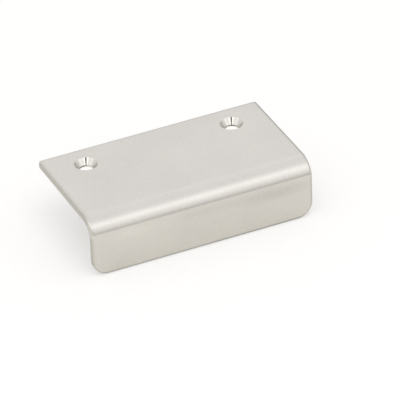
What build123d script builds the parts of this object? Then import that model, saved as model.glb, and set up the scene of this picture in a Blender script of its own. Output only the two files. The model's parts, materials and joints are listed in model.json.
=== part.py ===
"""Tab pull: one sheet folded square, with two countersunk fixing holes. Sizes are in millimetres."""

from build123d import *
import os

# Sheet and overall sizes, taken over the outside of the fold
sheet_thickness = 2.4
pull_width = 76.2
overall_depth = 41.6
overall_height = 20.0

# Fold and outline, with what is rubbed off the lip's show face to leave it flat below a crisp line
inner_fold_radius = 4.5
lip_rub = 0.4
lip_corner_radius = 5.5
plate_corner_radius = 0.9

# Countersunk holes through the plate, each the size of its fastener and a clearance
hole_spacing = 50.8
hole_inset = 8.9
shank_diameter = 3.5
shank_clearance = 0.8
head_diameter = 6.8
head_clearance = 0.7
head_angle = 82

# Rubbed edges, softer on the show side than on the side that faces the door
show_edge_radius = 0.8
hidden_edge_radius = 0.25

# The origin lies midway between the holes, on the face of the plate that sits on the door
plate_end_y = hole_inset
lip_front_y = hole_inset - overall_depth
lip_back_y = lip_front_y - lip_rub + sheet_thickness
lip_end_z = sheet_thickness - overall_height
bore_radius = (shank_diameter + shank_clearance) / 2
countersink_radius = (head_diameter + head_clearance) / 2


def flats_and_fold(sheet, show_side):
    """The plate's flat, the fold and the lip's flat, on the show side or on the hidden side."""
    under, top = sheet.faces().filter_by(Plane.XY).sort_by(Axis.Z)[-2:]
    front, behind = sheet.faces().filter_by(Plane.XZ).sort_by(Axis.Y)[:2]
    inside, outside = sheet.faces().filter_by(GeomType.CYLINDER).sort_by(SortBy.AREA)[-2:]
    return (top, outside, front) if show_side else (under, inside, behind)


def outline(sheet, show_side):
    """The edges round one side of the half sheet, without the fold's two seams and the cut at the middle."""
    plate_flat, fold, lip_flat = (face.edges() for face in flats_and_fold(sheet, show_side))
    middle = sheet.faces().sort_by(Axis.X)[0].edges()
    return plate_flat + fold + lip_flat - (plate_flat & fold) - (lip_flat & fold) - middle


with BuildPart() as tab_pull:
    # Section: the inside line of the sheet, bent to its radius and thickened outwards, run to half the width
    with BuildSketch(Plane.YZ):
        with BuildLine():
            FilletPolyline(
                (plate_end_y, 0),
                (lip_back_y, 0),
                (lip_back_y, lip_end_z),
                radius=inner_fold_radius,
            )
            offset(amount=sheet_thickness, side=Side.RIGHT, closed=True)
        make_face()
    extrude(amount=pull_width / 2)

    # The lip's show face, rubbed flat until the fold ends in a line
    split(bisect_by=Plane.XZ.offset(-lip_front_y), keep=Keep.BOTTOM)

    # Round lower corners of the lip, and the nipped corners at the plate's end
    outer_end = tab_pull.faces().sort_by(Axis.X)[-1].edges()
    fillet(outer_end.filter_by(Axis.Y).sort_by(Axis.Z)[0], radius=lip_corner_radius)
    outer_end = tab_pull.faces().sort_by(Axis.X)[-1].edges()
    fillet(outer_end.filter_by(Axis.Z).sort_by(Axis.Y)[-1], radius=plate_corner_radius)

    # Rubbed edges all the way round each side of the sheet, over the fold as well, then the other half
    fillet(outline(tab_pull, show_side=False), radius=hidden_edge_radius)
    fillet(outline(tab_pull, show_side=True), radius=show_edge_radius)
    mirror(about=Plane.YZ)

    # Two countersunk holes in line, sunk from the show side of the plate
    with Locations(Plane.XY.offset(sheet_thickness)):
        with GridLocations(hole_spacing, 0, 2, 1):
            CounterSinkHole(
                radius=bore_radius,
                counter_sink_radius=countersink_radius,
                depth=sheet_thickness,
                counter_sink_angle=head_angle,
            )

tab_pull.part.label = "tab_pull"
os.makedirs("parts", exist_ok=True)
export_step(tab_pull.part, "parts/tab_pull.step")
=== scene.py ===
"""Looks of the folded tab pull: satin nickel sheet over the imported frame, on a plain pale floor.

The pull is one sheet, so the visible piece is made as its maker would make it. A flat blank is cut
with its rounded corners, rubbed edges and countersunk holes, and a Geometry Nodes tree then folds
it to the frame's sizes.
"""

import json
import logging
import math
from dataclasses import dataclass, field
from enum import IntEnum
from functools import reduce

import bmesh
import bpy
from mathutils import Matrix, Vector
from mathutils.geometry import delaunay_2d_cdt


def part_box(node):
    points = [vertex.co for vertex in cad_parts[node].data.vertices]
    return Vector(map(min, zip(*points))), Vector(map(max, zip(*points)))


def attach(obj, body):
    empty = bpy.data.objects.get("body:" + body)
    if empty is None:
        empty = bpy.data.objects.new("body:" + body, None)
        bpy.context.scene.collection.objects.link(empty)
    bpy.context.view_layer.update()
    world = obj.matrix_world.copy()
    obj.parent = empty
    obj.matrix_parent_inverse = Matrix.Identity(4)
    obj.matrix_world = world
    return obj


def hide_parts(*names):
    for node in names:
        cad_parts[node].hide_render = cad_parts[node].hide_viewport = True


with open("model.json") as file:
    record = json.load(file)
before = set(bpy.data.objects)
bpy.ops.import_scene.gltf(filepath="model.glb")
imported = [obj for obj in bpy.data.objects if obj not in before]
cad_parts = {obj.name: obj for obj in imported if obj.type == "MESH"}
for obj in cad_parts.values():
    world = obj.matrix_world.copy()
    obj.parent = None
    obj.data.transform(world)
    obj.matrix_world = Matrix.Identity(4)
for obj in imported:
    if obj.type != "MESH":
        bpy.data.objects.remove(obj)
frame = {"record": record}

LOG = logging.getLogger("tab_pull")

MM = 0.001
NODE_NAME = "tab_pull"

# What the mesh carries: its map, the zone of each face, how worn a rim is and its share of the turn
MAP_NAME = "UVMap"
ZONE_MARK = "zone"
RIM_MARK = "rim"
TURN_MARK = "turn"

Socket = bpy.types.NodeSocket
Number = float | Socket
Given = dict[int | str, object]
Colour = tuple[float, float, float]
Point2 = tuple[float, float]

WHITE: Colour = (1.0, 1.0, 1.0)
QUARTER_TURN = math.pi / 2


class Zone(IntEnum):
    """Which surface of the sheet a face belongs to."""

    SHEET = 0
    CUT_EDGE = 1
    COUNTERSINK = 2
    BORE = 3

    @property
    def input_name(self) -> str:
        """Name of the folding tree's input that takes this zone's finish."""
        return f"Finish {self.name.title()}"


Finishes = dict[Zone, bpy.types.Material]


# Shader and geometry trees


@dataclass(frozen=True)
class Mottle:
    """The look of a noise: its cells in a unit, its octaves and how much each octave adds."""

    scale: float
    detail: float
    roughness: float


class TreeWriter:
    """Adds nodes to a shader or geometry tree and links them, one short call for each."""

    # Places of the colour sockets on a Mix node, which repeats its socket names for each kind of data
    COLOUR_A = 6
    COLOUR_B = 7
    COLOUR_RESULT = 2

    def __init__(self, tree: bpy.types.NodeTree) -> None:
        """Starts writing into a tree."""
        self.tree = tree

    def node(self, kind: str, given: Given | None = None, **settings: object) -> bpy.types.Node:
        """Adds a node.

        Args:
            kind: The node's type name in Blender.
            given: What goes into its inputs, by their names or their places.
            settings: Properties to set on the node.

        Returns:
            The new node.
        """
        made = self.tree.nodes.new(kind)
        for name, value in settings.items():
            setattr(made, name, value)
        for key, value in (given or {}).items():
            self.feed(made.inputs[key], value)
        return made

    def feed(self, socket: Socket, value: object) -> None:
        """Links a socket to another socket, or sets it to a constant.

        Args:
            socket: The input to feed.
            value: An output socket, or a plain value.
        """
        if isinstance(value, Socket):
            self.tree.links.new(value, socket)
        else:
            socket.default_value = value

    def math(self, operation: str, *values: Number, clamp: bool = False) -> Socket:
        """Adds a Math node.

        Args:
            operation: The Math node's operation.
            values: What goes into its inputs, sockets or numbers.
            clamp: Whether the result is held between 0 and 1.

        Returns:
            The node's output socket.
        """
        given = dict(enumerate(values))
        return self.node("ShaderNodeMath", given, operation=operation, use_clamp=clamp).outputs[0]

    def product(self, *values: Number) -> Socket:
        """Multiplies sockets or numbers together, one after the other."""
        return reduce(lambda total, value: self.math("MULTIPLY", total, value), values)

    def distance(self, value: Socket, place: float) -> Socket:
        """How far a value lies from a place, without its sign."""
        return self.math("ABSOLUTE", self.math("SUBTRACT", value, place))

    def blend(self, share: Socket, start: float, end: float) -> Socket:
        """A number that goes straight from start to end as the share goes from 0 to 1."""
        return self.math("MULTIPLY_ADD", share, end - start, start)

    def ramp(
        self, value: Socket, low: float, high: float, to_low: Number = 0.0, to_high: Number = 1.0
    ) -> Socket:
        """Adds a smooth Map Range node.

        Args:
            value: The socket that is mapped.
            low: The value where the ramp starts.
            high: The value where the ramp ends.
            to_low: The result at and before the start.
            to_high: The result at and past the end.

        Returns:
            The node's output socket.
        """
        given = {"Value": value, "From Min": low, "From Max": high, "To Min": to_low, "To Max": to_high}
        made = self.node("ShaderNodeMapRange", given, interpolation_type="SMOOTHSTEP")
        return made.outputs["Result"]

    def step(
        self, value: Socket, middle: float, soft: float, to_low: Number = 0.0, to_high: Number = 1.0
    ) -> Socket:
        """Adds a ramp by the middle of its slope and half its width."""
        return self.ramp(value, middle - soft, middle + soft, to_low, to_high)

    def span(self, value: Socket, low: float, high: float, soft: float) -> Socket:
        """A number that is 1 from low to high and falls softly to 0 on either side."""
        return self.product(self.step(value, low, soft), self.step(value, high, soft, 1.0, 0.0))

    def noise(self, place: Socket, look: Mottle) -> Socket:
        """Adds a Noise Texture node, read at a place and with a given look."""
        sizes = {"Scale": look.scale, "Detail": look.detail, "Roughness": look.roughness}
        return self.node("ShaderNodeTexNoise", {"Vector": place, **sizes}).outputs["Fac"]

    def tone(self, factor: Socket, dark: Colour | Socket, light: Colour | Socket) -> Socket:
        """Adds a Mix node between two colours.

        Args:
            factor: The mix, 0 for the dark colour and 1 for the light one.
            dark: Linear red, green and blue, or a colour's socket.
            light: The same for the other end.

        Returns:
            The mixed colour's socket.
        """
        ends = [end if isinstance(end, Socket) else (*end, 1.0) for end in (dark, light)]
        given = {"Factor": factor, self.COLOUR_A: ends[0], self.COLOUR_B: ends[1]}
        return self.node("ShaderNodeMix", given, data_type="RGBA").outputs[self.COLOUR_RESULT]

    def scaled(self, colour: Socket, share: Socket) -> Socket:
        """A colour made lighter or darker by a share of itself."""
        given = {0: colour, "Scale": share}
        return self.node("ShaderNodeVectorMath", given, operation="SCALE").outputs["Vector"]

    def length(self, vector: Socket) -> Socket:
        """The length of a vector."""
        return self.node("ShaderNodeVectorMath", {0: vector}, operation="LENGTH").outputs["Value"]

    def parts(self, vector: Socket) -> list[Socket]:
        """The X, Y and Z of a vector."""
        return list(self.node("ShaderNodeSeparateXYZ", {0: vector}).outputs)

    def joined(self, *values: Number) -> Socket:
        """A vector from its X, its Y and, where it has one, its Z."""
        return self.node("ShaderNodeCombineXYZ", dict(enumerate(values))).outputs[0]

    def place(self) -> Socket:
        """The place on the object, in the object's own coordinates."""
        return self.node("ShaderNodeTexCoord").outputs["Object"]

    def mark(self, name: str) -> Socket:
        """A number that the mesh carries, by its name."""
        return self.node("ShaderNodeAttribute", attribute_name=name).outputs["Fac"]

    def passed(self, kind: str, flow: Socket, given: Given, **settings: object) -> Socket:
        """Adds a node that geometry passes through, with what its other inputs and settings get."""
        return self.node(kind, {"Geometry": flow, **given}, **settings).outputs["Geometry"]


def fresh_tree(owner: bpy.types.ID, output: str, surface: str) -> tuple[TreeWriter, bpy.types.Node]:
    """Empties the tree of a material or a world and puts one shader on its output.

    Args:
        owner: The material or the world.
        output: Type name of its output node.
        surface: Type name of the shader node.

    Returns:
        A writer for the tree, and the shader node.
    """
    owner.use_nodes = True
    owner.node_tree.nodes.clear()
    tree = TreeWriter(owner.node_tree)
    shader = tree.node(surface)
    tree.feed(tree.node(output).inputs["Surface"], shader.outputs[0])
    return tree, shader


def new_object(name: str, data: bpy.types.ID) -> bpy.types.Object:
    """Makes an object and links it to the scene.

    Args:
        name: The object's name.
        data: Its mesh, lamp or camera.

    Returns:
        The object.
    """
    made = bpy.data.objects.new(name, data)
    bpy.context.scene.collection.objects.link(made)
    return made


def new_metal(name: str) -> tuple[bpy.types.Material, TreeWriter, bpy.types.Node]:
    """Makes a bare metal.

    Args:
        name: The material's name.

    Returns:
        The material, a writer for its tree and its Principled node.
    """
    material = bpy.data.materials.new(name)
    tree, shader = fresh_tree(material, "ShaderNodeOutputMaterial", "ShaderNodeBsdfPrincipled")
    shader.inputs["Metallic"].default_value = 1.0
    return material, tree, shader


# Finishes of the metal


@dataclass(frozen=True)
class PaintedLightPatch:
    """A soft patch of painted light and shade on the lip, lighter or darker than the metal round it.

    Its middle is given across the sheet and below the crease, and its share is how bright it is there.
    """

    across: float
    below_crease: float
    half_across: float
    half_along: float
    share: float


@dataclass(frozen=True)
class BrushedFinish:
    """Satin nickel on the sheet: a fine, short grain that runs over the fold, and a buffed fold.

    The grain follows the blank's own map, so it bends with the sheet, and soft clouds lie over it.
    The metal is painted a little darker along its side edges and towards the lip's end, as painted
    shade, and soft patches of painted light and shade lie on the lip below the crease. The fold's
    share of the turn is read from a mark that the folding tree leaves on the mesh.
    """

    dark: Colour = (0.633, 0.612, 0.579)
    light: Colour = (0.840, 0.814, 0.772)
    flat_roughness: float = 0.36
    fold_roughness: float = 0.27
    fold_smooth_from: float = 0.25
    fold_end: float = 0.999
    anisotropy: float = 0.55
    grain_across: float = 1700.0
    grain_along: float = 620.0
    grain: Mottle = Mottle(1.0, 3.0, 0.6)
    grain_weight: float = 0.55
    cloud: Mottle = Mottle(55.0, 2.0, 0.5)
    cloud_weight: float = 0.45
    cloud_roughness: float = 0.05
    bump_height: float = 0.0025 * MM
    bump_strength: float = 0.35
    margin: float = 1.6 * MM
    # Painted shade along the side edges and the lip's end
    side_shade_share: float = 0.885
    end_shade_share: float = 0.90
    # Painted light and shade on the lip: darker on the right and in the middle, lighter on the left
    painted_light_patches: tuple[PaintedLightPatch, ...] = (
        PaintedLightPatch(25.0 * MM, 2.7 * MM, 19.0 * MM, 3.8 * MM, 0.885),
        PaintedLightPatch(3.0 * MM, 1.8 * MM, 19.0 * MM, 2.4 * MM, 0.945),
        PaintedLightPatch(-24.0 * MM, 2.6 * MM, 15.0 * MM, 2.6 * MM, 1.05),
    )

    def build(self, half_width: float, crease: float, length: float) -> bpy.types.Material:
        """Makes the material.

        Args:
            half_width: Half the blank's width.
            crease: Distance along the blank to the line where the lip's flat starts.
            length: Distance along the blank to the lip's end.

        Returns:
            The sheet's material.
        """
        material, tree, shader = new_metal("satin_nickel_brushed")
        blank_map = tree.node("ShaderNodeUVMap", uv_map=MAP_NAME).outputs["UV"]
        given = {0: blank_map, 1: (self.grain_across, self.grain_along, 1.0)}
        stretch = tree.node("ShaderNodeVectorMath", given, operation="MULTIPLY")
        grain = tree.noise(stretch.outputs["Vector"], self.grain)
        cloud = tree.noise(tree.place(), self.cloud)

        fine, soft = tree.product(grain, self.grain_weight), tree.product(cloud, self.cloud_weight)
        metal = tree.tone(tree.math("ADD", fine, soft), self.dark, self.light)
        across, along, _ = tree.parts(blank_map)
        from_side = tree.math("SUBTRACT", half_width, tree.math("ABSOLUTE", across))
        from_end = tree.math("SUBTRACT", length, along)
        # Painted shade: darker within a margin of the side edges and of the lip's end
        sides = tree.ramp(from_side, 0.0, self.margin, self.side_shade_share)
        end = tree.ramp(from_end, 0.0, self.margin, self.end_shade_share)
        share = tree.product(sides, end)
        # Painted light and shade: soft lighter and darker patches on the lip below the crease
        for patch in self.painted_light_patches:
            over = tree.math("SUBTRACT", across, patch.across)
            over = tree.math("DIVIDE", over, patch.half_across)
            down = tree.math("SUBTRACT", along, crease + patch.below_crease)
            down = tree.math("DIVIDE", down, patch.half_along)
            reach = tree.length(tree.joined(over, down))
            share = tree.product(share, tree.ramp(reach, 0.0, 1.0, patch.share))
        tree.feed(shader.inputs["Base Color"], tree.scaled(metal, share))

        turn = tree.mark(TURN_MARK)
        leaving = tree.ramp(turn, 0.0, self.fold_smooth_from)
        on_fold = tree.product(leaving, tree.math("LESS_THAN", turn, self.fold_end))
        satin = tree.blend(on_fold, self.flat_roughness, self.fold_roughness)
        worn = tree.math("MULTIPLY_ADD", cloud, self.cloud_roughness, satin)
        tree.feed(shader.inputs["Roughness"], worn)

        shader.inputs["Anisotropic"].default_value = self.anisotropy
        tangent = tree.node("ShaderNodeTangent", direction_type="UV_MAP", uv_map=MAP_NAME)
        tree.feed(shader.inputs["Tangent"], tangent.outputs["Tangent"])
        given = {"Strength": self.bump_strength, "Distance": self.bump_height, "Height": grain}
        bump = tree.node("ShaderNodeBump", given)
        tree.feed(shader.inputs["Normal"], bump.outputs["Normal"])
        return material


@dataclass(frozen=True)
class RubbedEdgeFinish:
    """The cut edges of the sheet, rubbed round by hand: no grain, only mottling, and thinner plating.

    The metal gets duller from the flats to the cut face, which is read from a mark on the blank. It
    is darkest at the lip's foot and a little darker along the plate and to the right, as painted
    shade, a little lighter to the left, as painted light, and bright where the edge runs over the
    fold, as a painted highlight.
    """

    flat: Colour = (0.66, 0.635, 0.60)
    dark: Colour = (0.455, 0.440, 0.403)
    light: Colour = (0.625, 0.610, 0.567)
    flat_roughness: float = 0.30
    cut_roughness: float = 0.32
    mottle: Mottle = Mottle(900.0, 3.0, 0.55)
    mottle_roughness: float = 0.06
    worn_from: float = 0.05
    worn_to: float = 1.0
    # Painted shade at the lip's foot, along the plate and to the right, painted light to the left, and
    # a painted highlight over the fold
    foot_height: float = 1.3 * MM
    foot_shade_share: float = 0.72
    plate_from: float = -5.0 * MM
    plate_to: float = -1.0 * MM
    plate_shade_share: float = 0.94
    left_light_share: float = 1.10
    right_shade_share: float = 0.94
    fold_highlight_share: float = 1.22
    fold_from: float = 0.15
    fold_full_from: float = 0.5
    fold_full_to: float = 0.75
    fold_to: float = 0.98

    def build(self, foot_z: float, half_width: float) -> bpy.types.Material:
        """Makes the material.

        Args:
            foot_z: Height of the lip's lower end.
            half_width: Half the pull's width.

        Returns:
            The cut edges' material.
        """
        material, tree, shader = new_metal("satin_nickel_edge")
        place = tree.place()
        mottle = tree.noise(place, self.mottle)
        worn = tree.ramp(tree.mark(RIM_MARK), self.worn_from, self.worn_to)
        metal = tree.tone(worn, self.flat, tree.tone(mottle, self.dark, self.light))

        # Painted shade and light by place: darkest at the lip's foot, darker along the plate and to the
        # right, lighter to the left, and a painted highlight where the edge runs over the fold
        x, _, z = tree.parts(place)
        foot = tree.ramp(z, foot_z, foot_z + self.foot_height, self.foot_shade_share)
        plate = tree.ramp(z, self.plate_from, self.plate_to, 1.0, self.plate_shade_share)
        across = tree.ramp(x, -half_width, half_width, self.left_light_share, self.right_shade_share)
        turn = tree.mark(TURN_MARK)
        enters = tree.ramp(turn, self.fold_from, self.fold_full_from)
        leaves = tree.ramp(turn, self.fold_full_to, self.fold_to, 1.0, 0.0)
        fold = tree.blend(tree.product(enters, leaves), 1.0, self.fold_highlight_share)
        share = tree.product(foot, plate, across, fold)
        tree.feed(shader.inputs["Base Color"], tree.scaled(metal, share))

        satin = tree.blend(worn, self.flat_roughness, self.cut_roughness)
        rough = tree.math("MULTIPLY_ADD", mottle, self.mottle_roughness, satin)
        tree.feed(shader.inputs["Roughness"], rough)
        return material


@dataclass(frozen=True)
class TurnedFinish:
    """The countersinks, turned with a tool: rings round each hole's axis, smoother than the sheet."""

    dark: Colour = (0.61, 0.59, 0.55)
    light: Colour = (0.71, 0.69, 0.65)
    roughness: float = 0.10
    anisotropy: float = 0.6
    rings_per_metre: float = 5200.0
    ring: Mottle = Mottle(1.0, 1.0, 0.5)
    ring_roughness: float = 0.06

    def build(self, hole_x: float, hole_y: float) -> bpy.types.Material:
        """Makes the material.

        Args:
            hole_x: Distance of each hole's axis from the middle of the pull.
            hole_y: Place of the holes' axes along Y.

        Returns:
            The countersinks' material.
        """
        material, tree, shader = new_metal("satin_nickel_turned")
        x, y, _ = tree.parts(tree.place())
        axis_x = tree.product(tree.math("SIGN", x), hole_x)
        radial = tree.joined(tree.math("SUBTRACT", x, axis_x), tree.math("SUBTRACT", y, hole_y))
        rings = tree.noise(tree.product(tree.length(radial), self.rings_per_metre), self.ring)
        tree.feed(shader.inputs["Base Color"], tree.tone(rings, self.dark, self.light))
        rough = tree.math("MULTIPLY_ADD", rings, self.ring_roughness, self.roughness)
        tree.feed(shader.inputs["Roughness"], rough)
        shader.inputs["Anisotropic"].default_value = self.anisotropy
        tree.feed(shader.inputs["Tangent"], radial)
        return material


# The blank and its fold


@dataclass
class HolePattern:
    """Two countersunk holes in line across the plate, sunk from the show side."""

    spacing: float
    inset: float
    bore_radius: float
    countersink_radius: float = 3.75 * MM
    head_angle: float = math.radians(82)
    segments: int = 96

    def centres(self) -> list[Point2]:
        """Places of the hole axes on the blank, as distance across and along."""
        return [(-self.spacing / 2, self.inset), (self.spacing / 2, self.inset)]

    def circle(self, centre: Point2, radius: float) -> list[Point2]:
        """Evenly spaced points on a circle round the axis of one hole."""
        turns = [math.tau / self.segments * i for i in range(self.segments)]
        return [(centre[0] + radius * math.cos(a), centre[1] + radius * math.sin(a)) for a in turns]

    def flat_radius(self, radius: float) -> float:
        """Distance from a hole's axis to the middle of each straight side of its ring."""
        return radius * math.cos(math.pi / self.segments)

    def near(self, x: float, s: float, reach: float) -> bool:
        """Whether a place on the blank lies closer than a reach to one of the axes."""
        return any(math.dist((x, s), centre) < reach for centre in self.centres())

    def countersink_depth(self) -> float:
        """Depth of the cone, from the show face to the top of the bore."""
        return (self.countersink_radius - self.bore_radius) / math.tan(self.head_angle / 2)


@dataclass
class Ring:
    """A closed ring of vertices at one height, with the exact places that they were made at."""

    points: list[Point2]
    verts: list[bmesh.types.BMVert]


@dataclass
class SheetBlank:
    """The flat blank, before folding.

    X runs across, Y along from the plate's end, and Z from the hidden face to the show face.
    """

    width: float
    thickness: float
    plate_length: float
    fold_length: float
    lip_length: float
    crease_share: float
    holes: HolePattern
    plate_corner_radius: float = 0.9 * MM
    lip_corner_radius: float = 5.5 * MM
    show_edge_radius: float = 0.8 * MM
    hidden_edge_radius: float = 0.25 * MM
    fold_stations: int = 26
    flat_stations: int = 6
    corner_steps: int = 20
    edge_steps: int = 5
    grid_pitch: float = 2.6 * MM
    clear_share: float = 0.45
    fewest_cells: int = 2
    sharp_angle: float = math.radians(30)
    touch: float = 0.001 * MM
    same_point: float = 1e-9
    mesh: bmesh.types.BMesh = field(default_factory=bmesh.new)

    @property
    def fold_end(self) -> float:
        """Distance along the blank at which the fold ends and the lip starts."""
        return self.plate_length + self.fold_length

    @property
    def length(self) -> float:
        """Whole length of the blank."""
        return self.fold_end + self.lip_length

    @property
    def crease(self) -> float:
        """Distance along the blank at which the lip's rubbed flat starts on the show side."""
        return self.plate_length + self.fold_length * self.crease_share

    def stations(self) -> list[float]:
        """Distances along the blank at which the sheet turns a little, one of them on the crease.

        Returns:
            The distances, growing from the plate to the lip.
        """
        before, past = self.crease - self.plate_length, self.fold_end - self.crease
        bent = [self.plate_length + before * i / self.fold_stations for i in range(self.fold_stations)]
        flat = [self.crease + past * i / self.flat_stations for i in range(self.flat_stations + 1)]
        return bent + flat

    def corner(self, radius: float, along: float, way: float, inset: float) -> list[Point2]:
        """One of the rounded corners on the right of the outline.

        Args:
            radius: The corner's radius on the true outline.
            along: Distance along the blank to the middle of its arc.
            way: 1 for a corner at the lip's end, -1 for one at the plate's end.
            inset: How far inside the true outline the arc runs.

        Returns:
            The arc's points, from the plate's end to the lip's end.
        """
        swept = [QUARTER_TURN * i / self.corner_steps for i in range(self.corner_steps + 1)]
        if way < 0:
            swept.reverse()
        across, reach = self.width / 2 - radius, radius - inset
        return [(across + reach * math.cos(a), along + way * reach * math.sin(a)) for a in swept]

    def outline(self, inset: float) -> list[Point2]:
        """The blank's outline, moved inwards.

        Args:
            inset: How far inside the true outline it runs.

        Returns:
            Points round the blank, with a pair at each station of the fold.
        """
        half = self.width / 2 - inset
        lip_corner = self.length - self.lip_corner_radius
        right = self.corner(self.plate_corner_radius, self.plate_corner_radius, -1.0, inset)
        right += [(half, s) for s in self.stations()]
        right += self.corner(self.lip_corner_radius, lip_corner, 1.0, inset)
        return right + [(-x, s) for x, s in reversed(right)]

    def section(self) -> list[tuple[float, float, float]]:
        """Where the rings of the rubbed edge run, from the show side to the hidden side.

        Returns:
            For each ring its inset, its height and how worn it is.
        """
        quarter = [QUARTER_TURN * i / self.edge_steps for i in range(self.edge_steps + 1)]
        show, hidden, top = self.show_edge_radius, self.hidden_edge_radius, self.thickness
        found = []
        for a in quarter:
            found.append((show * (1 - math.sin(a)), top - show * (1 - math.cos(a)), math.sin(a)))
        for a in quarter:
            found.append((hidden * (1 - math.cos(a)), hidden * (1 - math.sin(a)), math.cos(a)))
        return found

    def ring(self, points: list[Point2], height: float) -> Ring:
        """Adds a ring of vertices at one height above the hidden face."""
        return Ring(points, [self.mesh.verts.new((x, s, height)) for x, s in points])

    def face(self, verts: list[bmesh.types.BMVert], zone: Zone) -> None:
        """Adds a smooth face.

        Args:
            verts: Its corners in order.
            zone: The surface that it belongs to.
        """
        made = self.mesh.faces.new(verts)
        made[self.mesh.faces.layers.int[ZONE_MARK]] = zone
        made.smooth = True

    def band(self, upper: Ring, lower: Ring, zone: Zone) -> None:
        """Joins two rings with quads.

        Args:
            upper: A closed ring of vertices.
            lower: The matching ring below or inside it.
            zone: The surface that the quads belong to.
        """
        above, below = upper.verts, lower.verts
        for i, j in zip(range(len(above)), [*range(1, len(above)), 0]):
            self.face([above[i], above[j], below[j], below[i]], zone)

    def side(
        self, rim: Ring, hole_rims: list[Ring], inset: float, radius: float, height: float
    ) -> None:
        """Fills one side of the sheet between its rim and the holes' rims.

        Args:
            rim: The outer ring on this side.
            hole_rims: One ring for each hole.
            inset: How far inside the outline the rim runs.
            radius: Radius of the holes on this side.
            height: Height of this side above the hidden face.
        """
        rings = [rim, *hole_rims]
        verts = [v for ring in rings for v in ring.verts]
        points = [Vector(p) for ring in rings for p in ring.points]
        edges: list[tuple[int, int]] = []
        first = 0
        for ring in rings:
            count = len(ring.points)
            edges += [(first + i, first + (i + 1) % count) for i in range(count)]
            first += count

        columns = max(self.fewest_cells, round(self.width / self.grid_pitch))
        xs = [(-0.5 + i / columns) * (self.width - 2 * inset) for i in range(1, columns)]
        half = self.width / 2 - inset
        for s in self.stations():
            line = [rim.points.index((-half, s))]
            for x in xs:
                line.append(len(points))
                points.append(Vector((x, s)))
            line.append(rim.points.index((half, s)))
            edges += list(zip(line, line[1:]))
        points += [Vector(p) for p in self.support_points(xs, radius)]

        inside_only = 1
        placed, _, triangles, sources, _, _ = delaunay_2d_cdt(
            points, edges, [], inside_only, self.same_point
        )
        made = []
        for place, ids in zip(placed, sources):
            known = [i for i in ids if i < len(verts)]
            made.append(verts[known[0]] if known else self.mesh.verts.new((place.x, place.y, height)))
        open_radius = self.holes.flat_radius(radius)
        for corners in triangles:
            middle = sum((placed[i] for i in corners), Vector((0.0, 0.0))) / len(corners)
            if not self.holes.near(middle.x, middle.y, open_radius):
                self.face([made[i] for i in corners], Zone.SHEET)

    def support_points(self, xs: list[float], radius: float) -> list[Point2]:
        """Points inside the flats that keep the triangles there well shaped.

        Args:
            xs: Distances across the sheet, one for each column.
            radius: Radius of the holes on this side.

        Returns:
            Points clear of the outline and of the holes.
        """
        found: list[Point2] = []
        clear = self.grid_pitch * self.clear_share
        corner = self.lip_corner_radius
        for start, end in ((0.0, self.plate_length), (self.fold_end, self.length)):
            rows = max(self.fewest_cells, round((end - start) / self.grid_pitch))
            for row in range(1, rows):
                s = start + (end - start) * row / rows
                for x in xs:
                    beyond = s - (self.length - corner)
                    aside = abs(x) - (self.width / 2 - corner)
                    in_corner = beyond > 0 and aside > 0
                    if in_corner and math.hypot(beyond, aside) > corner - clear:
                        continue
                    if not self.holes.near(x, s, radius + clear):
                        found.append((x, s))
        return found

    def build(self) -> bpy.types.Object:
        """Cuts the blank.

        Returns:
            An object holding the closed flat mesh, with its zones and its sharp rims marked.
        """
        self.mesh.faces.layers.int.new(ZONE_MARK)
        worn = self.mesh.verts.layers.float.new(RIM_MARK)
        top, bottom = self.thickness, 0.0
        rings = []
        for inset, height, share in self.section():
            rings.append(self.ring(self.outline(inset), height))
            for vert in rings[-1].verts:
                vert[worn] = share
        for upper, lower in zip(rings, rings[1:]):
            self.band(upper, lower, Zone.CUT_EDGE)

        holes = self.holes
        cone_end = top - holes.countersink_depth()
        rims, feet = [], []
        for centre in holes.centres():
            rim = self.ring(holes.circle(centre, holes.countersink_radius), top)
            throat = self.ring(holes.circle(centre, holes.bore_radius), cone_end)
            foot = self.ring(holes.circle(centre, holes.bore_radius), bottom)
            self.band(rim, throat, Zone.COUNTERSINK)
            self.band(throat, foot, Zone.BORE)
            rims.append(rim)
            feet.append(foot)
        self.side(rings[0], rims, self.show_edge_radius, holes.countersink_radius, top)
        self.side(rings[-1], feet, self.hidden_edge_radius, holes.bore_radius, bottom)

        # Folding mirrors the blank, whose length then runs towards -Y, so its faces start inwards
        bmesh.ops.recalc_face_normals(self.mesh, faces=self.mesh.faces)
        bmesh.ops.reverse_faces(self.mesh, faces=self.mesh.faces)
        self.mark_sharp()
        data = bpy.data.meshes.new("blank")
        self.mesh.to_mesh(data)
        self.mesh.free()
        return new_object("blank", data)

    def mark_sharp(self) -> None:
        """Marks the rims of the holes and the crease on the show side as sharp."""
        half_way = self.thickness / 2
        for edge in self.mesh.edges:
            ends = [vert.co for vert in edge.verts]
            on_crease = all(abs(co.y - self.crease) < self.touch and co.z > half_way for co in ends)
            edge.smooth = edge.calc_face_angle(0.0) < self.sharp_angle and not on_crease


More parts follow.
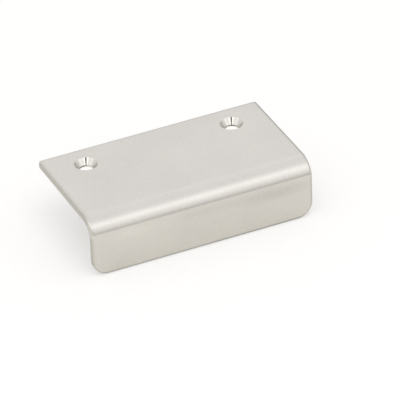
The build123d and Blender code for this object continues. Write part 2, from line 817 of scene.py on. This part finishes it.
@dataclass
class FoldTree:
    """Geometry Nodes that fold the blank about the X axis and give each zone its finish.

    The plate stays flat, the stretch of the fold turns about a fixed centre, and the lip runs on
    straight. Where the show side turns past the lip's face, it is rubbed back to that face.
    """

    plate_end: float
    plate_length: float
    fold_length: float
    inner_radius: float
    thickness: float
    lip_rub: float
    angle: float = QUARTER_TURN
    least_sine: float = 0.5
    normal_weight: int = 100

    def sizes(self) -> dict[str, float]:
        """The tree's inputs.

        Returns:
            The value of each, by its name.
        """
        return {
            "Plate End": self.plate_end,
            "Plate Length": self.plate_length,
            "Fold Length": self.fold_length,
            "Inner Radius": self.inner_radius,
            "Thickness": self.thickness,
            "Lip Rub": self.lip_rub,
            "Fold Angle": self.angle,
        }

    def write(self, finishes: Finishes) -> bpy.types.NodeTree:
        """Writes the tree.

        Args:
            finishes: The material of each zone.

        Returns:
            The node tree, ready for a modifier.
        """
        group = bpy.data.node_groups.new("fold_sheet", "GeometryNodeTree")
        kinds = {"Geometry": "NodeSocketGeometry"}
        kinds.update({name: "NodeSocketFloat" for name in self.sizes()})
        kinds.update({zone.input_name: "NodeSocketMaterial" for zone in finishes})
        for name, kind in kinds.items():
            group.interface.new_socket(name, in_out="INPUT", socket_type=kind)
        group.interface.new_socket("Geometry", in_out="OUTPUT", socket_type="NodeSocketGeometry")

        tree = TreeWriter(group)
        given = {socket.name: socket for socket in tree.node("NodeGroupInput").outputs}
        spot = tree.parts(tree.node("GeometryNodeInputPosition").outputs[0])
        share, place = self.bent(tree, given, spot)
        flow = given["Geometry"]
        for name, value, kind, domain in (
            (MAP_NAME, tree.joined(spot[0], spot[1]), "FLOAT2", "CORNER"),
            (TURN_MARK, share, "FLOAT", "POINT"),
        ):
            kept, how = {"Name": name, "Value": value}, {"data_type": kind, "domain": domain}
            flow = tree.passed("GeometryNodeStoreNamedAttribute", flow, kept, **how)
        flow = tree.passed("GeometryNodeSetPosition", flow, {"Position": place})
        flow = tree.passed("GeometryNodeRealizeInstances", flow, {})
        for zone in finishes:
            chosen = {"Selection": self.in_zone(tree, zone), "Material": given[zone.input_name]}
            flow = tree.passed("GeometryNodeSetMaterial", flow, chosen)
        tree.feed(tree.node("NodeGroupOutput").inputs["Geometry"], flow)
        return group

    def bent(
        self, tree: TreeWriter, given: dict[str, Socket], spot: list[Socket]
    ) -> tuple[Socket, Socket]:
        """Writes where each point of the blank goes.

        Args:
            tree: The tree's writer.
            given: The tree's inputs by their names.
            spot: The point's X, Y and Z on the blank.

        Returns:
            The point's share of the turn, from 0 to 1, and its place on the folded sheet.
        """
        across, along, height = spot
        before = tree.math("MINIMUM", along, given["Plate Length"])
        past_plate = tree.math("SUBTRACT", along, given["Plate Length"])
        share = tree.math("DIVIDE", past_plate, given["Fold Length"], clamp=True)
        after = tree.math("MAXIMUM", tree.math("SUBTRACT", past_plate, given["Fold Length"]), 0.0)
        turn = tree.product(share, given["Fold Angle"])
        sine, cosine = tree.math("SINE", turn), tree.math("COSINE", turn)

        outer_radius = tree.math("ADD", given["Inner Radius"], given["Thickness"])
        rubbed_reach = tree.math("SUBTRACT", outer_radius, given["Lip Rub"])
        steep = tree.math("MAXIMUM", sine, self.least_sine)
        above = tree.math("SUBTRACT", outer_radius, tree.math("DIVIDE", rubbed_reach, steep))
        show_side = tree.math("GREATER_THAN", height, tree.product(given["Thickness"], 0.5))
        rubbed = tree.product(tree.math("MAXIMUM", above, 0.0), show_side)
        radius = tree.math("ADD", tree.math("SUBTRACT", height, rubbed), given["Inner Radius"])

        start = tree.math("SUBTRACT", given["Plate End"], before)
        round_fold = tree.math("SUBTRACT", start, tree.product(radius, sine))
        folded_y = tree.math("SUBTRACT", round_fold, tree.product(after, cosine))
        rise = tree.math("SUBTRACT", tree.product(radius, cosine), given["Inner Radius"])
        folded_z = tree.math("SUBTRACT", rise, tree.product(after, sine))
        return share, tree.joined(across, folded_y, folded_z)

    def in_zone(self, tree: TreeWriter, zone: Zone) -> Socket:
        """Writes whether a face belongs to a zone.

        Args:
            tree: The tree's writer.
            zone: The zone that is asked for.

        Returns:
            The answer's socket.
        """
        mark = tree.node("GeometryNodeInputNamedAttribute", {"Name": ZONE_MARK}, data_type="INT")
        same = tree.node("FunctionNodeCompare", data_type="INT", operation="EQUAL")
        held, wanted = [socket for socket in same.inputs if socket.type == "INT"]
        tree.feed(held, mark.outputs["Attribute"])
        wanted.default_value = int(zone)
        return same.outputs["Result"]

    def fold(self, blank: bpy.types.Object, finishes: Finishes, name: str) -> bpy.types.Object:
        """Folds the blank and leaves a plain mesh.

        Args:
            blank: The flat blank.
            finishes: The material of each zone.
            name: Name of the finished piece.

        Returns:
            The folded piece, at the origin, with no modifier left on it.
        """
        group = self.write(finishes)
        values: dict[str, object] = dict(self.sizes())
        values.update({zone.input_name: finish for zone, finish in finishes.items()})
        modifier = blank.modifiers.new("fold", "NODES")
        modifier.node_group = group
        for item in group.interface.items_tree:
            if item.in_out == "INPUT" and item.name in values:
                modifier[item.identifier] = values[item.name]
        even = blank.modifiers.new("even_normals", "WEIGHTED_NORMAL")
        even.keep_sharp = True
        even.weight = self.normal_weight
        graph = bpy.context.evaluated_depsgraph_get()
        ready = blank.evaluated_get(graph)
        data = bpy.data.meshes.new_from_object(ready, preserve_all_data_layers=True, depsgraph=graph)
        data.name = name
        bpy.data.objects.remove(blank)
        return new_object(name, data)


@dataclass
class TabPull:
    """The whole pull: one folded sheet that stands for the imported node."""

    low: Vector
    high: Vector
    hole_spacing: float
    bore_radius: float
    inner_radius: float = 4.5 * MM
    lip_rub: float = 0.4 * MM
    brushed: BrushedFinish = BrushedFinish()
    edge: RubbedEdgeFinish = RubbedEdgeFinish()
    turned: TurnedFinish = TurnedFinish()

    @classmethod
    def from_frame(cls) -> "TabPull":
        """Reads the pull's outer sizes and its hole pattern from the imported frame.

        Returns:
            The pull, ready to build.
        """
        low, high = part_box(NODE_NAME)
        mounts = frame["record"]["mounts"]
        dims = next(mount["dims"] for mount in mounts if mount["kind"] == "bolt_pattern")
        return cls(low, high, dims["spacing_x_mm"] * MM, dims["hole_r_mm"] * MM)

    def build(self) -> bpy.types.Object:
        """Cuts, folds and dresses the sheet.

        Returns:
            The finished piece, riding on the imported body.
        """
        thickness = self.high.z
        outer_radius = self.inner_radius + thickness
        fold_centre = self.low.y + outer_radius - self.lip_rub
        crease_angle = math.asin((outer_radius - self.lip_rub) / outer_radius)
        blank = SheetBlank(
            width=self.high.x - self.low.x,
            thickness=thickness,
            plate_length=self.high.y - fold_centre,
            fold_length=QUARTER_TURN * (self.inner_radius + thickness / 2),
            lip_length=-self.low.z - self.inner_radius,
            crease_share=crease_angle / QUARTER_TURN,
            holes=HolePattern(self.hole_spacing, self.high.y, self.bore_radius),
        )
        brushed = self.brushed.build(blank.width / 2, blank.crease, blank.length)
        finishes = {
            Zone.SHEET: brushed,
            Zone.CUT_EDGE: self.edge.build(self.low.z, blank.width / 2),
            Zone.COUNTERSINK: self.turned.build(self.hole_spacing / 2, 0.0),
            Zone.BORE: brushed,
        }
        fold = FoldTree(
            plate_end=self.high.y,
            plate_length=blank.plate_length,
            fold_length=blank.fold_length,
            inner_radius=self.inner_radius,
            thickness=thickness,
            lip_rub=self.lip_rub,
        )
        piece = fold.fold(blank.build(), finishes, "folded_sheet")
        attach(piece, "root")
        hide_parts(NODE_NAME)
        LOG.info("%s: %d faces", piece.name, len(piece.data.polygons))
        return piece


# Studio and camera


def direction(azimuth: float, elevation: float) -> Vector:
    """Unit vector at an azimuth, in degrees from the lip's front towards +X, and an elevation."""
    a, e = math.radians(azimuth), math.radians(elevation)
    return Vector((math.sin(a) * math.cos(e), -math.cos(a) * math.cos(e), math.sin(e)))


@dataclass(frozen=True)
class Lamp:
    """A flat lamp that looks at a point. It lights matt surfaces and shows in none that shine."""

    name: str
    azimuth: float = -15.0
    elevation: float = 71.0
    distance: float = 1.4
    width: float = 1.1
    height: float = 1.1
    radiance: float = 1.58

    def build(self, target: Vector) -> bpy.types.Object:
        """Hangs the lamp.

        Args:
            target: The point that it looks at.

        Returns:
            The lamp.
        """
        data = bpy.data.lights.new(self.name, "AREA")
        data.shape = "RECTANGLE"
        data.size, data.size_y = self.width, self.height
        data.energy = self.radiance * math.pi * self.width * self.height
        lamp = new_object(self.name, data)
        away = direction(self.azimuth, self.elevation)
        lamp.location = target + away * self.distance
        lamp.rotation_euler = away.to_track_quat("Z", "Y").to_euler()
        lamp.visible_camera = False
        lamp.visible_glossy = False
        return lamp


@dataclass(frozen=True)
class WhiteRoom:
    """What surrounds the pull: white to the camera, plain to matt surfaces, a white room to gloss.

    The room gets dimmer and warmer towards its horizon, and is darkest behind on the right. One soft
    front light hangs in it, brighter at its heart and with a dim wing on each side. A thin dark
    stand splits that light. Places are in degrees, as an azimuth round the object or a height above
    the horizon, and each softness is half the width of a slope.
    """

    matt_level: float = 0.78
    horizon_level: float = 0.57
    left_back_level: float = 0.85
    right_back_level: float = 0.15
    back_azimuth: float = 115.0
    back_soft: float = 20.0
    horizon_top: float = 30.0
    horizon_colour: Colour = (1.0, 0.960, 0.915)
    warm_top: float = 26.0
    top_from: float = 44.0
    top_to: float = 68.0
    top_drop: float = 0.07
    light_level: float = 1.19
    light_low: float = 40.5
    light_high: float = 66.5
    light_soft: float = 7.0
    light_azimuth: float = -12.0
    light_half_width: float = 66.0
    side_soft: float = 20.0
    heart_gain: float = 0.50
    heart_half_width: float = 34.0
    heart_soft: float = 14.0
    wing_gain: float = 0.32
    wing_from: float = 56.0
    wing_to: float = 86.0
    wing_soft: float = 12.0
    wing_low: float = 16.0
    wing_high: float = 50.0
    stand_azimuth: float = -23.6
    stand_half_width: float = 8.5
    stand_soft: float = 1.5

    def gloss(self, tree: TreeWriter, azimuth: Socket, height: Socket) -> Socket:
        """Writes what gloss sees: the room, its front light with heart and wings, and the stand.

        Args:
            tree: The world's writer.
            azimuth: Degrees round the object.
            height: Degrees above the horizon.

        Returns:
            The level in each direction.
        """
        back, soft, level = self.back_azimuth, self.back_soft, self.horizon_level
        left = tree.step(azimuth, -back, soft, self.left_back_level, level)
        right = tree.step(azimuth, back, soft, 0.0, self.right_back_level - level)
        room = tree.ramp(height, 0.0, self.horizon_top, tree.math("ADD", left, right))
        top = tree.ramp(height, self.top_from, self.top_to, 0.0, -self.top_drop)
        room = tree.math("ADD", room, top)

        from_light = tree.distance(azimuth, self.light_azimuth)
        from_stand = tree.distance(azimuth, self.stand_azimuth)
        over = self.light_level - 1.0
        front = tree.product(
            tree.span(height, self.light_low, self.light_high, self.light_soft),
            tree.step(from_light, self.light_half_width, self.side_soft, 1.0, 0.0),
        )
        heart = over + self.heart_gain
        gain = tree.step(from_stand, self.heart_half_width, self.heart_soft, heart, over)
        wing = tree.product(
            tree.span(from_stand, self.wing_from, self.wing_to, self.wing_soft),
            tree.span(height, self.wing_low, self.wing_high, self.light_soft),
        )
        lit = tree.math("MULTIPLY_ADD", front, gain, room)
        lit = tree.math("MULTIPLY_ADD", wing, self.wing_gain, lit)
        return tree.product(lit, tree.step(from_stand, self.stand_half_width, self.stand_soft))

    def build(self) -> None:
        """Makes the world and gives it to the scene."""
        world = bpy.data.worlds.new("white_room")
        world.cycles.sampling_method = "NONE"
        tree, background = fresh_tree(world, "ShaderNodeOutputWorld", "ShaderNodeBackground")
        x, y, z = tree.parts(tree.node("ShaderNodeTexCoord").outputs["Generated"])
        height = tree.math("DEGREES", tree.math("ARCSINE", z))
        azimuth = tree.math("DEGREES", tree.math("ARCTAN2", x, tree.product(y, -1.0)))

        path = tree.node("ShaderNodeLightPath").outputs
        shown = tree.math("MAXIMUM", path["Is Glossy Ray"], path["Is Transmission Ray"])
        more = tree.math("SUBTRACT", self.gloss(tree, azimuth, height), self.matt_level)
        level = tree.math("MULTIPLY_ADD", shown, more, self.matt_level)
        level = tree.math("MAXIMUM", level, path["Is Camera Ray"])
        warm = tree.product(shown, tree.ramp(height, 0.0, self.warm_top, 1.0, 0.0))
        tree.feed(background.inputs["Color"], tree.tone(warm, WHITE, self.horizon_colour))
        tree.feed(background.inputs["Strength"], level)
        bpy.context.scene.world = world


@dataclass
class Studio:
    """Plain pale floor, white surroundings and a soft lamp overhead.

    The floor is partly white by itself to the camera and to gloss. To gloss its colour is painted
    darker, as painted shade: a little all over, more behind the lip's front, and most behind the lip
    on the right, where the sheet shades it.
    """

    floor_level: float
    floor_size: float = 6.0
    white_share: float = 0.45
    white_strength: float = 1.02
    matt_colour: Colour = (1.0, 0.994, 0.982)
    gloss_white_share: float = 0.1
    gloss_front_shade: Colour = (0.90, 0.89, 0.852)
    gloss_back_shade: Colour = (0.87, 0.86, 0.83)
    gloss_right_shade: Colour = (0.40, 0.395, 0.38)
    back_from: float = -32.0 * MM
    back_to: float = -4.0 * MM
    right_from: float = 30.0 * MM
    right_to: float = 42.0 * MM
    room: WhiteRoom = WhiteRoom()
    lamp: Lamp = Lamp("overhead")

    def build(self, target: Vector) -> None:
        """Sets the floor, the world and the lamp.

        Args:
            target: The point that the lamp looks at.
        """
        self.build_floor()
        self.room.build()
        lamp = self.lamp.build(target)
        LOG.info("studio: floor, white room and the lamp %s", lamp.name)

    def build_floor(self) -> None:
        half = self.floor_size / 2
        data = bpy.data.meshes.new("floor")
        corners = [(-half, -half), (half, -half), (half, half), (-half, half)]
        data.from_pydata([(x, y, self.floor_level) for x, y in corners], [], [(0, 1, 2, 3)])
        data.materials.append(self.floor_material())
        floor = new_object("floor", data)

    def floor_material(self) -> bpy.types.Material:
        """Makes the floor's material, which keeps the object's shadow.

        Returns:
            The material.
        """
        material = bpy.data.materials.new("pale_floor")
        material.cycles.emission_sampling = "NONE"
        tree, mix = fresh_tree(material, "ShaderNodeOutputMaterial", "ShaderNodeMixShader")
        path = tree.node("ShaderNodeLightPath").outputs
        x, y, _ = tree.parts(tree.place())
        # Painted shade seen only in gloss: the floor's colour darker all over, more behind the lip's
        # front, most behind it on the right
        aside = tree.ramp(x, self.right_from, self.right_to)
        behind = tree.ramp(y, self.back_from, self.back_to)
        rear = tree.tone(aside, self.gloss_back_shade, self.gloss_right_shade)
        reflected = tree.tone(behind, self.gloss_front_shade, rear)
        colour = tree.tone(path["Is Glossy Ray"], self.matt_colour, reflected)

        matt = tree.node("ShaderNodeBsdfDiffuse", {"Color": colour})
        white = tree.node("ShaderNodeEmission", {"Color": colour, "Strength": self.white_strength})
        share = tree.product(path["Is Camera Ray"], self.white_share)
        share = tree.math("MULTIPLY_ADD", path["Is Glossy Ray"], self.gloss_white_share, share)
        for socket, value in zip(mix.inputs, (share, matt.outputs[0], white.outputs[0])):
            tree.feed(socket, value)
        return material


@dataclass
class PhotoCamera:
    """A long lens at the photograph's angle: in front, to the left and above, and a little rolled."""

    aim: Vector = Vector((5.922, -16.909, -11.154)) * MM
    azimuth: float = -23.59
    elevation: float = 32.938
    roll: float = -2.473
    distance: float = 1578.84 * MM
    lens: float = 448.65
    sensor: float = 36.0
    clip_end: float = 20.0

    def build(self) -> bpy.types.Object:
        """Places the camera and makes it the scene's.

        Returns:
            The camera.
        """
        data = bpy.data.cameras.new("photo_camera")
        data.lens = self.lens
        data.sensor_width = self.sensor
        data.clip_end = self.clip_end
        camera = new_object("photo_camera", data)
        away = direction(self.azimuth, self.elevation)
        roll = Matrix.Rotation(math.radians(self.roll), 3, "Z")
        turn = away.to_track_quat("Z", "Y").to_matrix() @ roll
        place = self.aim + away * self.distance
        camera.matrix_world = Matrix.LocRotScale(place, turn.to_quaternion(), None)
        bpy.context.scene.camera = camera
        return camera


def main() -> None:
    """Builds the pull, the studio and the camera, in that order."""
    logging.basicConfig(level=logging.INFO, format="%(name)s %(message)s")
    bpy.context.scene.view_settings.view_transform = "Standard"
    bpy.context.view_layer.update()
    pull = TabPull.from_frame()
    pull.build()
    Studio(floor_level=pull.low.z).build((pull.low + pull.high) / 2)
    camera = PhotoCamera().build()
    LOG.info("%s: lens %.1f mm", camera.name, camera.data.lens)


if __name__ == "__main__":
    main()
